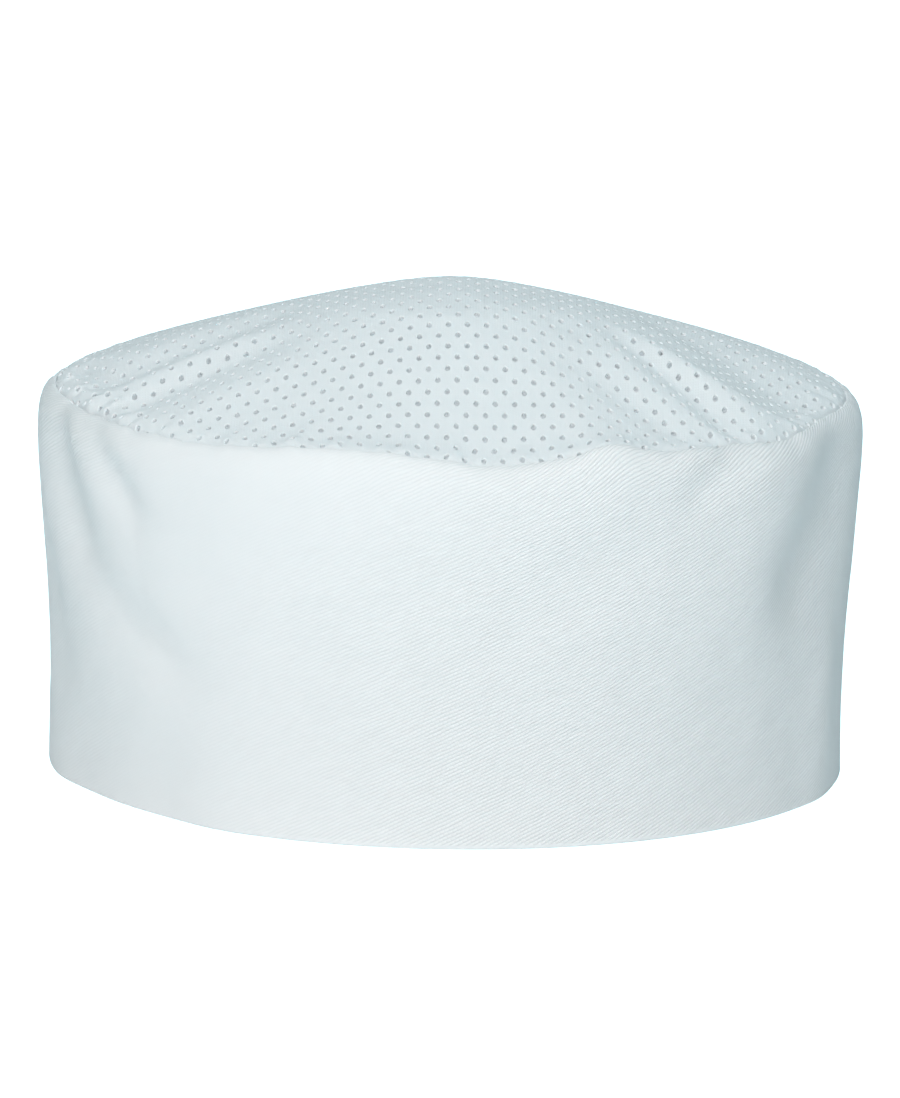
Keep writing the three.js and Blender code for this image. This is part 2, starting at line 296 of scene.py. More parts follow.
def seam_lift(angle):
    lift = seam_pucker(angle)
    for at, spread, share in SEAM_RIPPLES:
        lift = lift + share * BAND_HEIGHT * mound(wrapped(angle - at), spread)
    return lift


def band_push(angle, height):
    arc = math.radians(1) * HEM_HALF_WIDTH
    push = 0
    for from_angle, from_height, to_angle, to_height, out, half in BAND_FOLDS:
        share = fold(
            wrapped(angle) * arc, height * BAND_HEIGHT,
            from_angle * arc, from_height * BAND_HEIGHT,
            to_angle * arc, to_height * BAND_HEIGHT, half * BAND_HEIGHT,
        )
        push = push + out * HEM_HALF_WIDTH * share
    return push


def band_out(height):
    return HEM_HALF_WIDTH * curve_through(height, BAND_SECTION[:, 0], BAND_SECTION[:, 1])


def band_point(angle, height, out):
    """A point of the band's wall; out is counted from the hem's oval, before the folds."""
    x, y = plan_point(angle, out + band_push(angle, height))
    rise = np.clip((height - RIPPLE_FOOT) / (1 - RIPPLE_FOOT), 0, 1) ** 2
    return np.stack([x, y, height * BAND_HEIGHT + seam_lift(angle) * rise], axis=-1)


def seam_plan(angle):
    """Where the crown's cloth passes inside the band's top edge, seen from above."""
    return plan_point(angle, float(band_out(1.0)) - BAND_WALL + band_push(angle, 1.0))


RIM_ANGLES = np.linspace(-180, 180, 1441)
RIM_X, RIM_Y = seam_plan(RIM_ANGLES)
RIM_TURN = np.unwrap(np.arctan2(RIM_X - APEX_X, -(RIM_Y - APEX_Y)))


def crown_polar(x, y):
    """Rim angle and reach (share of the way from apex to seam) of a point seen from above."""
    turn = np.arctan2(x - APEX_X, -(y - APEX_Y))
    turn = np.where(turn < RIM_TURN[0], turn + 2 * np.pi, turn)
    turn = np.where(turn > RIM_TURN[-1], turn - 2 * np.pi, turn)
    angle = np.interp(turn, RIM_TURN, RIM_ANGLES)
    rim_x, rim_y = seam_plan(angle)
    rim = np.hypot(rim_x - APEX_X, rim_y - APEX_Y)
    return angle, np.hypot(x - APEX_X, y - APEX_Y) / rim, rim


def crown_point(x, y):
    """The crown's outer face over a point of the plan. Past the seam the cloth turns down."""
    angle, reach, rim = crown_polar(x, y)
    inside = np.minimum(reach, 1.0)
    facing = np.cos(np.radians(angle))
    front = np.clip(facing, 0, None) ** FRONT_SHARPNESS
    back = np.clip(-facing, 0, None) ** FRONT_SHARPNESS
    table = CROWN_SECTION
    dome = front * curve_through(inside, table[:, 0], table[:, 1])
    dome = dome + back * curve_through(inside, table[:, 0], table[:, 3])
    dome = dome + (1 - front - back) * curve_through(inside, table[:, 0], table[:, 2])
    folds = 0
    for x1, y1, x2, y2, lift, half in CROWN_FOLDS:
        share = fold(
            x, y, x1 * HEM_HALF_WIDTH, y1 * HEM_HALF_DEPTH,
            x2 * HEM_HALF_WIDTH, y2 * HEM_HALF_DEPTH, half * HEM_HALF_WIDTH,
        )
        folds = folds + lift * CROWN_RISE * share
    release = np.clip((1 - reach) / FOLD_RELEASE, 0, 1)
    inwards = (1 - inside) * rim / SEAM_SWELL_REACH
    bunch = 1 + BUNCH_TIMES * mound(wrapped(angle - BUNCH_AT), BUNCH_SPREAD)
    puckered = SEAM_SWELL + PUCKER_SWELL * seam_pucker(angle * PUCKER_STEP)
    swell = puckered * bunch * inwards * np.exp(-inwards)
    height = BAND_HEIGHT + seam_lift(angle) * inside**6 + CROWN_RISE * dome + folds * release
    height = height + swell
    past = np.maximum(reach - 1.0, 0.0) * rim
    share = np.where(reach > 1.0, 1.0 / np.maximum(reach, 1e-6), 1.0)
    return np.stack([
        APEX_X + (x - APEX_X) * share,
        APEX_Y + (y - APEX_Y) * share,
        height - past,
    ], axis=-1)


def hex_colour(text):
    """An sRGB hex colour as linear red, green, blue and alpha."""
    channels = [int(text[at:at + 2], 16) / 255 for at in (1, 3, 5)]
    linear = [c / 12.92 if c <= 0.04045 else ((c + 0.055) / 1.055) ** 2.4 for c in channels]
    return (*linear, 1.0)


def add_node(tree, kind, settings=None, links=None):
    """Adds a node, sets its properties or sockets by name, and links sockets to it. A node
    among the links stands for its first output."""
    node = tree.nodes.new(kind)
    for name, value in (settings or {}).items():
        if isinstance(name, str) and hasattr(node, name):
            setattr(node, name, value)
        else:
            node.inputs[name].default_value = value
    for name, source in (links or {}).items():
        socket = source.outputs[0] if isinstance(source, bpy.types.Node) else source
        tree.links.new(socket, node.inputs[name])
    return node


def new_material(name):
    material = bpy.data.materials.new(name)
    material.use_nodes = True
    material.node_tree.nodes.clear()
    return material, material.node_tree


def rounded(tree, turns, power):
    """A row of rounded humps, one a turn: 1 on top, falling to 0 where two of them meet."""
    share = add_node(tree, "ShaderNodeMath", {"operation": "FRACT"}, {0: turns})
    slope = add_node(tree, "ShaderNodeMath", {"operation": "MULTIPLY_ADD", 1: 2.0, 2: -1.0},
                     {0: share})
    swing = add_node(tree, "ShaderNodeMath", {"operation": "ABSOLUTE"}, {0: slope})
    fall = add_node(tree, "ShaderNodeMath", {"operation": "POWER", 1: power}, {0: swing})
    return add_node(tree, "ShaderNodeMath", {"operation": "SUBTRACT", 0: 1.0}, {1: fall})


def arc(degrees):
    """Where a place around the band lies on its unrolled cloth, in metres from the back."""
    return math.radians(degrees + 180) * GIRTH_RADIUS * MM


def rib_relief_and_groove_shade(tree, uv):
    """How far the ribs stand out, from 0 for flat to 1, and with it how much shade is painted into
    their grooves. Both follow how the key light falls: flat over the left front and its shoulder,
    where the light falls square on the cloth, strongest on the right, where it rakes, and fading
    towards the plain back."""
    place = add_node(tree, "ShaderNodeSeparateXYZ", None, {0: uv})
    above = add_node(tree, "ShaderNodeMath", {
        "operation": "SUBTRACT", 1: FLAT_RIBS_ABOVE * BAND_HEIGHT * MM,
    }, {0: place.outputs["Y"]})
    over = add_node(tree, "ShaderNodeMath", {"operation": "MAXIMUM", 1: 0.0}, {0: above})
    slant = add_node(tree, "ShaderNodeMath", {"operation": "MULTIPLY", 1: FLAT_RIBS_SLANT},
                     {0: over})
    slanted = add_node(tree, "ShaderNodeMath", {"operation": "SUBTRACT"},
                       {0: place.outputs["X"], 1: slant})
    share = {}
    for name, (start, end, low, high) in RIB_RELIEF_AND_GROOVE_SHADE.items():
        share[name] = add_node(tree, "ShaderNodeMapRange", {
            "From Min": arc(start), "From Max": arc(end), "To Min": low, "To Max": high,
        }, {"Value": slanted if name == "risen" else place.outputs["X"]})
    start, end, low, high = CORNER_RELIEF_AND_GROOVE_SHADE
    near_seam = add_node(tree, "ShaderNodeMapRange", {
        "From Min": start * BAND_HEIGHT * MM, "From Max": end * BAND_HEIGHT * MM,
        "To Min": low, "To Max": high,
    }, {"Value": place.outputs["Y"]})
    corner = add_node(tree, "ShaderNodeMath", {"operation": "MULTIPLY"},
                      {0: share["left corner"], 1: near_seam})
    corner = add_node(tree, "ShaderNodeMath", {"operation": "MULTIPLY"},
                      {0: corner, 1: share["past the corner"]})
    left = add_node(tree, "ShaderNodeMath", {"operation": "MAXIMUM"},
                    {0: corner, 1: share["left side"]})
    right = add_node(tree, "ShaderNodeMath", {"operation": "MULTIPLY"},
                     {0: share["risen"], 1: share["to the back"]})
    return add_node(tree, "ShaderNodeMath", {"operation": "MAXIMUM"}, {0: right, 1: left})


def twill_material():
    """White cotton twill, matt and slightly fuzzy. Ribs 0.8 mm apart climb gently to the right,
    each a row of short floats, so the eye sees fine slanting lines that break into dashes. Shade
    is painted into the grooves between the ribs, more where they stand out more."""
    rib_pitch = 0.82 * MM
    float_length = 1.13 * MM
    float_stagger = 0.45
    dash_depth = 0.17
    rib_angle = math.radians(27)
    wander_size = 9 * MM
    wander = 0.7 * MM
    slack_size = 17 * MM
    flat_height = 0.6
    material, tree = new_material("cotton_twill_white")
    uv = add_node(tree, "ShaderNodeUVMap", {"uv_map": "cloth"})
    drift = add_node(tree, "ShaderNodeTexNoise", {"Scale": 1 / wander_size, "Detail": 2.0},
                     {"Vector": uv})
    moved = add_node(tree, "ShaderNodeVectorMath", {
        "operation": "MULTIPLY_ADD", 1: (wander, wander, 0),
    }, {0: drift.outputs["Color"], 2: uv})
    across = add_node(tree, "ShaderNodeVectorMath", {
        "operation": "DOT_PRODUCT", 1: (-math.sin(rib_angle), math.cos(rib_angle), 0),
    }, {0: moved})
    along = add_node(tree, "ShaderNodeVectorMath", {
        "operation": "DOT_PRODUCT", 1: (math.cos(rib_angle), math.sin(rib_angle), 0),
    }, {0: moved})
    ribs = add_node(tree, "ShaderNodeMath", {"operation": "DIVIDE", 1: rib_pitch},
                    {0: across.outputs["Value"]})
    rib_number = add_node(tree, "ShaderNodeMath", {"operation": "FLOOR"}, {0: ribs})
    run = add_node(tree, "ShaderNodeMath", {"operation": "DIVIDE", 1: float_length},
                   {0: along.outputs["Value"]})
    floats = add_node(tree, "ShaderNodeMath", {"operation": "MULTIPLY_ADD", 1: float_stagger},
                      {0: rib_number, 2: run})
    dash = rounded(tree, floats, 4.0)
    broken = add_node(tree, "ShaderNodeMath", {
        "operation": "MULTIPLY_ADD", 1: dash_depth, 2: 1 - dash_depth,
    }, {0: dash})
    weave = add_node(tree, "ShaderNodeMath", {"operation": "MULTIPLY"},
                     {0: rounded(tree, ribs, 2.0), 1: broken})
    height = add_node(tree, "ShaderNodeMath", {"operation": "SUBTRACT", 1: flat_height},
                      {0: weave})
    relief_and_groove_shade = add_node(tree, "ShaderNodeMath", {"operation": "MULTIPLY_ADD", 2: flat_height},
                     {0: height, 1: rib_relief_and_groove_shade(tree, uv)})
    # The cloth's white, with shade painted darker into the rib grooves and the rib tops a little
    # lighter, as far as the ribs stand out
    painted_groove_shade = add_node(tree, "ShaderNodeMix", {
        "data_type": "RGBA", 6: hex_colour("#e3e5e7"), 7: hex_colour("#f3f3f4"),
    }, {0: relief_and_groove_shade})
    lie = add_node(tree, "ShaderNodeTexNoise", {"Scale": 1 / slack_size, "Detail": 1.5},
                   {"Vector": uv})
    slack = add_node(tree, "ShaderNodeBump", {"Strength": 1.0, "Distance": 0.9 * MM},
                     {"Height": lie})
    bump = add_node(tree, "ShaderNodeBump", {"Strength": 0.9, "Distance": 0.15 * MM},
                    {"Height": relief_and_groove_shade, "Normal": slack})
    shader = add_node(tree, "ShaderNodeBsdfPrincipled", {
        "Roughness": 0.9, "Sheen Weight": 0.15,
        "Subsurface Weight": 0.7, "Subsurface Radius": (0.95, 1.0, 1.0),
        "Subsurface Scale": 0.3 * MM,
    }, {"Base Color": painted_groove_shade.outputs[2], "Normal": bump})
    add_node(tree, "ShaderNodeOutputMaterial", None, {"Surface": shader})
    return material


def mesh_material():
    """White knitted mesh: soft, matt polyester with fine courses of loops. Light soaks into it,
    so its eyelets have soft edges."""
    course_pitch = 0.87 * MM
    wale_pitch = 0.66 * MM
    slack_size = 11 * MM
    material, tree = new_material("knitted_mesh_white")
    uv = add_node(tree, "ShaderNodeUVMap", {"uv_map": "cloth"})
    split = add_node(tree, "ShaderNodeSeparateXYZ", None, {0: uv})
    courses = add_node(tree, "ShaderNodeMath", {"operation": "DIVIDE", 1: course_pitch},
                       {0: split.outputs["Y"]})
    wales = add_node(tree, "ShaderNodeMath", {"operation": "DIVIDE", 1: wale_pitch},
                     {0: split.outputs["X"]})
    knit = add_node(tree, "ShaderNodeMath", {"operation": "MULTIPLY"},
                    {0: rounded(tree, courses, 2.0), 1: rounded(tree, wales, 2.0)})
    lie = add_node(tree, "ShaderNodeTexNoise", {"Scale": 1 / slack_size, "Detail": 2.0},
                   {"Vector": uv})
    slack = add_node(tree, "ShaderNodeBump", {"Strength": 1.0, "Distance": 0.6 * MM},
                     {"Height": lie})
    bump = add_node(tree, "ShaderNodeBump", {"Strength": 0.5, "Distance": 0.05 * MM},
                    {"Height": knit, "Normal": slack})
    shader = add_node(tree, "ShaderNodeBsdfPrincipled", {
        "Base Color": hex_colour("#e9ecee"), "Roughness": 0.8, "Sheen Weight": 0.2,
        "Subsurface Weight": 0.9, "Subsurface Radius": (0.95, 1.0, 1.0),
        "Subsurface Scale": 0.35 * MM,
    }, {"Normal": bump})
    add_node(tree, "ShaderNodeOutputMaterial", None, {"Surface": shader})
    return material


def thread_material():
    """Spun polyester sewing thread: white and a little glossier than the cloth, so that it shows
    as fine bright lines, with the fuzz of its plies as fine bumps."""
    fuzz_size = 0.22 * MM
    material, tree = new_material("polyester_thread_white")
    place = add_node(tree, "ShaderNodeTexCoord")
    fuzz = add_node(tree, "ShaderNodeTexNoise", {"Scale": 1 / fuzz_size, "Detail": 2.0},
                    {"Vector": place.outputs["Object"]})
    bump = add_node(tree, "ShaderNodeBump", {"Strength": 0.7, "Distance": 0.04 * MM},
                    {"Height": fuzz})
    shader = add_node(tree, "ShaderNodeBsdfPrincipled", {
        "Base Color": hex_colour("#eff1f1"), "Roughness": 0.55, "Sheen Weight": 0.3,
    }, {"Normal": bump})
    add_node(tree, "ShaderNodeOutputMaterial", None, {"Surface": shader})
    return material


def frame_shift():
    """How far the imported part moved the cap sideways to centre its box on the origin."""
    angles = np.linspace(-180, 180, 721)
    shoulder = band_point(angles, SHOULDER, float(band_out(SHOULDER)))
    low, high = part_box("band")
    middle = [(low[axis] + high[axis]) / 2 / MM for axis in (0, 1)]
    own = (shoulder.min(axis=0) + shoulder.max(axis=0)) / 2
    return np.array([middle[0] - own[0], middle[1] - own[1], 0.0])


def linked_object(name, data):
    """A new object in the scene, at the origin."""
    thing = bpy.data.objects.new(name, data)
    bpy.context.collection.objects.link(thing)
    return thing


def points_of(mesh):
    flat = np.empty(len(mesh.vertices) * 3)
    mesh.vertices.foreach_get("co", flat)
    return flat.reshape(-1, 3)


def place_points(mesh, points):
    """Moves a mesh's points to new places, in millimetres from the middle of the hem."""
    placed = (points + SHIFT) * MM
    mesh.vertices.foreach_set("co", placed.astype(np.float32).ravel())
    mesh.update()


def add_cloth_uvs(mesh, uvs):
    """The cloth's own flat coordinates, in metres, one pair for each corner of a face."""
    layer = mesh.uv_layers.new(name="cloth")
    layer.data.foreach_set("uv", (uvs * MM).astype(np.float32).ravel())


def finished_piece(name, mesh):
    mesh.shade_smooth()
    mesh.name = name
    return linked_object(name, mesh)


def spread_rows(table):
    return np.concatenate([np.linspace(start, end, count) for start, end, count in table])


def band_loop():
    """The band's cross-section once round, as height share and distance out for every row: one
    cloth that runs up outside and rolls in over the seam, folds under at the hem and runs up
    again inside."""
    between = spread_rows(TURNED_ROWS)
    hem = HEM_FOLD_ROUND / BAND_HEIGHT
    middle = float(band_out(0.0)) - BAND_WALL / 2
    rows = [(height, float(band_out(height))) for height in spread_rows(OUTER_ROWS)]
    rows += [(1.0 + rise, float(band_out(1.0)) - inwards) for rise, inwards in SEAM_ROLL]
    rows += [(height, float(band_out(height)) - TWILL_PLY) for height in between]
    for turn in np.linspace(0, -math.pi, INNER_FOLD_ROWS):
        half = BAND_WALL / 2 - TWILL_PLY
        level = INNER_FOLD_LEVEL + math.sin(turn) * INNER_FOLD_DEPTH
        rows.append((hem * level, middle + math.cos(turn) * half))
    rows += [(height, float(band_out(height)) - BAND_WALL + TWILL_PLY) for height in between[::-1]]
    rows += [(height, float(band_out(height)) - BAND_WALL) for height in spread_rows(INNER_ROWS)]
    for turn in np.linspace(-math.pi, 0, HEM_FOLD_ROWS):
        rows.append((hem * (1 + math.sin(turn)), middle + math.cos(turn) * BAND_WALL / 2))
    return rows


def build_band(material):
    angles = np.arange(BAND_STEPS) * 360.0 / BAND_STEPS - 180.0
    rings = np.array([band_point(angles, height, out) for height, out in band_loop()])
    count = len(rings)
    drop = np.linalg.norm(np.diff(rings[:, 0], axis=0), axis=1)
    along = np.concatenate([[0], np.cumsum(drop)])
    full = along[-1] + np.linalg.norm(rings[0, 0] - rings[-1, 0])
    girth = math.radians(360.0 / BAND_STEPS) * GIRTH_RADIUS
    faces = []
    uvs = []
    for row in range(count):
        after = (row + 1) % count
        low = along[row]
        high = full if after == 0 else along[after]
        for step in range(BAND_STEPS):
            right = (step + 1) % BAND_STEPS
            faces.append((
                row * BAND_STEPS + step, row * BAND_STEPS + right,
                after * BAND_STEPS + right, after * BAND_STEPS + step,
            ))
            left_u, right_u = step * girth, (step + 1) * girth
            uvs += [(left_u, low), (right_u, low), (right_u, high), (left_u, high)]
    mesh = bpy.data.meshes.new("band_cloth")
    mesh.from_pydata(rings.reshape(-1, 3).tolist(), [], faces)
    place_points(mesh, rings.reshape(-1, 3))
    add_cloth_uvs(mesh, np.array(uvs))
    mesh.materials.append(material)
    return finished_piece("band_cloth", mesh)


def eyelet_cell():
    """One brick of the mesh cloth lying flat, with its eyelet: both skins and the hole's wall."""
    half_w, half_h = EYELET_PITCH / 2, ROW_SPACING / 2
    border = [(half_w, 0), (half_w, half_h), (0, half_h), (-half_w, half_h),
              (-half_w, 0), (-half_w, -half_h), (0, -half_h), (half_w, -half_h)]
    sides = len(border)
    hole = []
    for x, y in border:
        turn = math.atan2(y / half_h, x / half_w)
        narrow = 1 - EYELET_NARROWING * math.sin(turn)
        hole.append((
            math.cos(turn) * EYELET_HALF_WIDTH * narrow,
            math.sin(turn) * EYELET_HALF_HEIGHT,
        ))
    rings = [[(x, y, 0.0) for x, y in border]]
    for spread, depth in EYELET_LIP:
        rings.append([(x * spread, y * spread, -depth * MESH_CLOTH) for x, y in hole])
    rings.append([(x, y, -MESH_CLOTH) for x, y in border])
    points = [point for ring in rings for point in ring]
    faces = []
    for ring in range(len(rings) - 1):
        for side in range(sides):
            after = (side + 1) % sides
            a, b = ring * sides + side, ring * sides + after
            faces.append((a, b, b + sides, a + sides))
    mesh = bpy.data.meshes.new("eyelet_cell")
    mesh.from_pydata(points, [], faces)
    return linked_object("eyelet_cell", mesh)


def eyelet_cloth_tree(material):
    """Geometry Nodes: the cell repeated in straight rows, every other row shifted by half."""
    tree = bpy.data.node_groups.new("eyelet_cloth", "GeometryNodeTree")
    face = tree.interface
    face.new_socket("Cell", in_out="INPUT", socket_type="NodeSocketObject")
    face.new_socket("Columns", in_out="INPUT", socket_type="NodeSocketInt")
    face.new_socket("Rows", in_out="INPUT", socket_type="NodeSocketInt")
    face.new_socket("Pitch", in_out="INPUT", socket_type="NodeSocketFloat")
    face.new_socket("Row Spacing", in_out="INPUT", socket_type="NodeSocketFloat")
    face.new_socket("Half Width", in_out="INPUT", socket_type="NodeSocketFloat")
    face.new_socket("Half Depth", in_out="INPUT", socket_type="NodeSocketFloat")
    face.new_socket("Cloth", in_out="OUTPUT", socket_type="NodeSocketGeometry")
    given = add_node(tree, "NodeGroupInput").outputs

    columns, rows = given["Columns"], given["Rows"]
    total = add_node(tree, "ShaderNodeMath", {"operation": "MULTIPLY"}, {0: columns, 1: rows})
    line = add_node(tree, "GeometryNodeMeshLine", None, {"Count": total})
    index = add_node(tree, "GeometryNodeInputIndex")
    part = add_node(tree, "ShaderNodeMath", {"operation": "DIVIDE"}, {0: index, 1: columns})
    row = add_node(tree, "ShaderNodeMath", {"operation": "FLOOR"}, {0: part})
    before = add_node(tree, "ShaderNodeMath", {"operation": "MULTIPLY"}, {0: row, 1: columns})
    column = add_node(tree, "ShaderNodeMath", {"operation": "SUBTRACT"}, {0: index, 1: before})
    odd = add_node(tree, "ShaderNodeMath", {"operation": "MODULO", 1: 2.0}, {0: row})
    shifted = add_node(tree, "ShaderNodeMath", {"operation": "MULTIPLY_ADD", 1: 0.5},
                       {0: odd, 2: column})
    middle_column = add_node(tree, "ShaderNodeMath", {
        "operation": "MULTIPLY_ADD", 1: 0.5, 2: -0.5,
    }, {0: columns})
    middle_row = add_node(tree, "ShaderNodeMath", {
        "operation": "MULTIPLY_ADD", 1: 0.5, 2: -0.5,
    }, {0: rows})
    from_middle = add_node(tree, "ShaderNodeMath", {"operation": "SUBTRACT"},
                           {0: shifted, 1: middle_column})
    up_rows = add_node(tree, "ShaderNodeMath", {"operation": "SUBTRACT"},
                       {0: row, 1: middle_row})
    x = add_node(tree, "ShaderNodeMath", {"operation": "MULTIPLY"},
                 {0: from_middle, 1: given["Pitch"]})
    y = add_node(tree, "ShaderNodeMath", {"operation": "MULTIPLY"},
                 {0: up_rows, 1: given["Row Spacing"]})
    place = add_node(tree, "ShaderNodeCombineXYZ", None, {0: x, 1: y})
    laid = add_node(tree, "GeometryNodeSetPosition", None, {"Geometry": line, "Position": place})
    across = add_node(tree, "ShaderNodeMath", {"operation": "DIVIDE"},
                      {0: x, 1: given["Half Width"]})
    deep = add_node(tree, "ShaderNodeMath", {"operation": "DIVIDE"},
                    {0: y, 1: given["Half Depth"]})
    oval = add_node(tree, "ShaderNodeCombineXYZ", None, {0: across, 1: deep})
    reach = add_node(tree, "ShaderNodeVectorMath", {"operation": "LENGTH"}, {0: oval})
    outside = add_node(tree, "ShaderNodeMath", {"operation": "GREATER_THAN", 1: 1.0},
                       {0: reach.outputs["Value"]})
    kept = add_node(tree, "GeometryNodeDeleteGeometry", {"domain": "POINT"},
                    {"Geometry": laid, "Selection": outside})
    cell = add_node(tree, "GeometryNodeObjectInfo", None, {"Object": given["Cell"]})
    repeated = add_node(tree, "GeometryNodeInstanceOnPoints", None,
                        {"Points": kept, "Instance": cell.outputs["Geometry"]})
    real = add_node(tree, "GeometryNodeRealizeInstances", None, {"Geometry": repeated})
    joined = add_node(tree, "GeometryNodeMergeByDistance", {"Distance": 0.01},
                      {"Geometry": real})
    dressed = add_node(tree, "GeometryNodeSetMaterial", {"Material": material},
                       {"Geometry": joined})
    add_node(tree, "NodeGroupOutput", None, {"Cloth": dressed})
    return tree


def grown_mesh(tree, values):
    """Sets a tree's named inputs and returns what it makes as a plain mesh."""
    holder = linked_object(tree.name, bpy.data.meshes.new(tree.name))
    modifier = holder.modifiers.new(tree.name, "NODES")
    modifier.node_group = tree
    for socket in tree.interface.items_tree:
        if socket.name in values:
            modifier[socket.identifier] = values[socket.name]
    holder.update_tag()
    graph = bpy.context.evaluated_depsgraph_get()
    mesh = bpy.data.meshes.new_from_object(holder.evaluated_get(graph))
    bpy.data.objects.remove(holder)
    bpy.data.node_groups.remove(tree)
    return mesh


def flat_eyelet_cloth(material):
    """The flat mesh cloth as a plain mesh, in millimetres, big enough to cover the crown."""
    cell = eyelet_cell()
    mesh = grown_mesh(eyelet_cloth_tree(material), {
        "Cell": cell, "Columns": 2 * math.ceil(CLOTH_HALF_WIDTH / EYELET_PITCH) + 2,
        "Rows": 2 * math.ceil(CLOTH_HALF_DEPTH / ROW_SPACING) + 2, "Pitch": EYELET_PITCH,
        "Row Spacing": ROW_SPACING, "Half Width": CLOTH_HALF_WIDTH,
        "Half Depth": CLOTH_HALF_DEPTH,
    })
    bpy.data.objects.remove(cell)
    return mesh


class ClothMap:
    """Lays the flat mesh cloth on the crown: rows keep their spacing along the middle of the
    cap, and eyelets keep theirs along each row, measured over the dome."""

    def __init__(self):
        line_y = np.linspace(-CLOTH_HALF_DEPTH, CLOTH_HALF_DEPTH, MIDDLE_LINE_POINTS)
        middle = crown_point(np.zeros_like(line_y), line_y)
        run = np.linalg.norm(np.diff(middle, axis=0), axis=1)
        along = np.concatenate([[0], np.cumsum(run)])
        self.rows = np.linspace(-MEASURED_HALF_RUN, MEASURED_HALF_RUN, MEASURED_ROWS)
        start = along[0] + (along[-1] - along[0]) / 2
        row_y = np.interp(self.rows + start, along, line_y)
        self.x = np.linspace(-MEASURED_HALF_RUN, MEASURED_HALF_RUN, MEASURED_COLUMNS)
        grid_x, grid_y = np.meshgrid(self.x, row_y)
        bow = ROW_BOW * np.clip(-grid_y / HEM_HALF_DEPTH, -1, 1)
        self.y = grid_y + ROW_SLOPE * grid_x + bow * grid_x**2
        points = crown_point(grid_x, self.y)
        steps = np.linalg.norm(np.diff(points, axis=1), axis=2)
        length = np.concatenate([np.zeros((len(self.rows), 1)), np.cumsum(steps, axis=1)], 1)
        zero = length[:, [len(self.x) // 2]]
        self.length = length - zero

    def plan(self, u, v):
        """Where a point of the flat cloth lies, seen from above."""
        just_under_last = len(self.rows) - 1.001
        spacing = self.rows[1] - self.rows[0]
        place = np.clip((v - self.rows[0]) / spacing, 0, just_under_last)
        low = place.astype(int)
        share = place - low
        x = np.empty_like(u)
        y = np.empty_like(u)
        for row in np.unique(low):
            chosen = low == row
            found = []
            for at in (row, row + 1):
                at_x = np.interp(u[chosen], self.length[at], self.x)
                found.append((at_x, np.interp(at_x, self.x, self.y[at])))
            part = share[chosen]
            x[chosen] = found[0][0] * (1 - part) + found[1][0] * part
            y[chosen] = found[0][1] * (1 - part) + found[1][1] * part
        return x, y

    def lay(self, u, v, height):
        """Points on the crown, raised off its outer face by height."""
        base = crown_point(*self.plan(u, v))
        right = crown_point(*self.plan(u + SLOPE_STEP, v))
        left = crown_point(*self.plan(u - SLOPE_STEP, v))
        above = crown_point(*self.plan(u, v + SLOPE_STEP))
        below = crown_point(*self.plan(u, v - SLOPE_STEP))
        normal = np.cross(right - left, above - below)
        normal /= np.linalg.norm(normal, axis=1, keepdims=True) + 1e-12
        return base + normal * height[:, None]


def build_crown(material):
    mesh = flat_eyelet_cloth(material)
    flat = points_of(mesh)
    u = flat[:, 0] + EYELET_PHASE[0]
    v = flat[:, 1] + EYELET_PHASE[1]
    corners = np.empty(len(mesh.loops), dtype=np.int64)
    mesh.loops.foreach_get("vertex_index", corners)
    add_cloth_uvs(mesh, np.stack([u[corners], v[corners]], axis=1))
    place_points(mesh, ClothMap().lay(u, v, flat[:, 2]))
    trim_seam_allowance(mesh)
    return finished_piece("crown_mesh", mesh)


def trim_seam_allowance(mesh):
    """Cuts the turned-down cloth level inside the band, and closes its cut edge."""
    level = (BAND_HEIGHT - SEAM_ALLOWANCE) * MM
    shape = bmesh.new()
    shape.from_mesh(mesh)
    cut = bmesh.ops.bisect_plane(
        shape, geom=shape.verts[:] + shape.edges[:] + shape.faces[:],
        plane_co=(0, 0, level), plane_no=(0, 0, -1), clear_outer=True,
    )
    edges = [item for item in cut["geom_cut"] if isinstance(item, bmesh.types.BMEdge)]
    bmesh.ops.triangle_fill(shape, edges=edges, use_beauty=True)
    shape.to_mesh(mesh)
    shape.free()


def polyline(name, points, closed):
    """A bare line of points for Geometry Nodes to follow, in millimetres."""
    count = len(points)
    edges = [(place, place + 1) for place in range(count - 1)]
    if closed:
        edges.append((count - 1, 0))
    mesh = bpy.data.meshes.new(name)
    mesh.from_pydata(points, edges, [])
    return linked_object(name, mesh)


